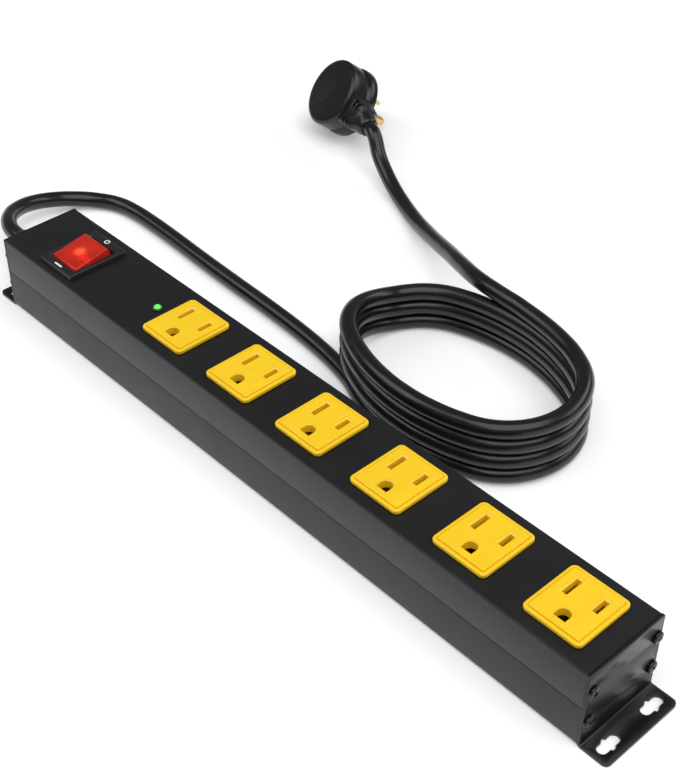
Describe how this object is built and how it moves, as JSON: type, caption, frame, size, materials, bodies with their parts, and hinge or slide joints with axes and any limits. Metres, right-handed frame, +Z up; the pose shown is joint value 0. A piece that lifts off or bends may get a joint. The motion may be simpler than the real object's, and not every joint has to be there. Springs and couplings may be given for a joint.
{
  "type": "power strip",
  "caption": "Long slim power strip with a metal housing, a row of yellow grounded outlets, a lighted reset rocker, a mounting ear at each end and a coiled cord with a round plug.",
  "frame": {"origin": "the middle of the footprint of the strip without its cord, on the surface that it stands on", "axes": "+X along the strip away from the cord end, +Y towards the coiled cord, +Z up, the way the outlets face"},
  "size_m": [0.4197, 0.2548, 0.0427],
  "materials": {
    "housing": "satin black anodised, fine grain",
    "bracket": "black powder coat on steel sheet",
    "screw": "black oxide",
    "outlet": "satin yellow nylon",
    "cover": "dark moulded plastic",
    "brass": "bright stamped brass",
    "tray": "natural moulded plastic",
    "black_plastic": "satin black",
    "rocker_red": "clear red, polished",
    "lamp_glass": "neon lamp glass",
    "lens_green": "diffused green",
    "board": "green solder mask",
    "varistor": "blue epoxy",
    "spring": "spring wire",
    "cord": "black vinyl jacket",
    "wire_black": "black insulation",
    "wire_white": "white insulation",
    "wire_green": "green insulation"
  },
  "bodies": {
    "strip": {"top_housing": "housing", "bottom_housing": "housing", "end_bracket_plain": "bracket", "end_bracket_cord": "bracket", "end_screw_1": "screw", "end_screw_2": "screw", "end_screw_3": "screw", "end_screw_4": "screw", "end_screw_5": "screw", "end_screw_6": "screw", "end_screw_7": "screw", "end_screw_8": "screw", "outlet_body_1": "outlet", "outlet_body_2": "outlet", "outlet_body_3": "outlet", "outlet_body_4": "outlet", "outlet_body_5": "outlet", "outlet_body_6": "outlet", "outlet_cover_1": "cover", "outlet_cover_2": "cover", "outlet_cover_3": "cover", "outlet_cover_4": "cover", "outlet_cover_5": "cover", "outlet_cover_6": "cover", "neutral_busbar": "brass", "line_busbar": "brass", "ground_busbar": "brass", "switch_terminal_lamp": "brass", "switch_terminal_line": "brass", "switch_terminal_load": "brass", "plug_blade_neutral": "brass", "plug_blade_line": "brass", "plug_ground_pin": "brass", "busbar_carrier": "tray", "switch_frame": "black_plastic", "indicator_ring": "black_plastic", "strain_relief": "black_plastic", "plug_insert": "black_plastic", "indicator_lens": "lens_green", "surge_board": "board", "surge_varistor_1": "varistor", "surge_varistor_2": "varistor", "surge_varistor_3": "varistor", "plug_body": "cord", "cord_run": "cord", "cord_coil": "cord", "cord_tail": "cord", "line_wire": "wire_black", "switched_wire": "wire_black", "neutral_wire": "wire_white", "lamp_wire": "wire_white", "ground_wire": "wire_green"},
    "rocker": {"switch_rocker": "rocker_red", "switch_plunger": "brass", "switch_spring": "spring", "switch_lamp": "lamp_glass"},
    "seesaw": {"switch_contact": "brass"}
  },
  "joints": [
    {"name": "rocker_tilt", "type": "hinge", "parent": "strip", "child": "rocker", "pos_m": [-0.1369, -0.00105, 0.0335], "axis": [-1, 0, 0], "range_deg": [0, 20]},
    {"name": "contact_tilt", "type": "hinge", "parent": "strip", "child": "seesaw", "pos_m": [-0.1369, -0.00105, 0.0214], "axis": [1, 0, 0], "range_deg": [0, 16]}
  ],
  "couplings": [
    {"joint": "contact_tilt", "follows": "rocker_tilt", "ratio": 0.8}
  ]
}
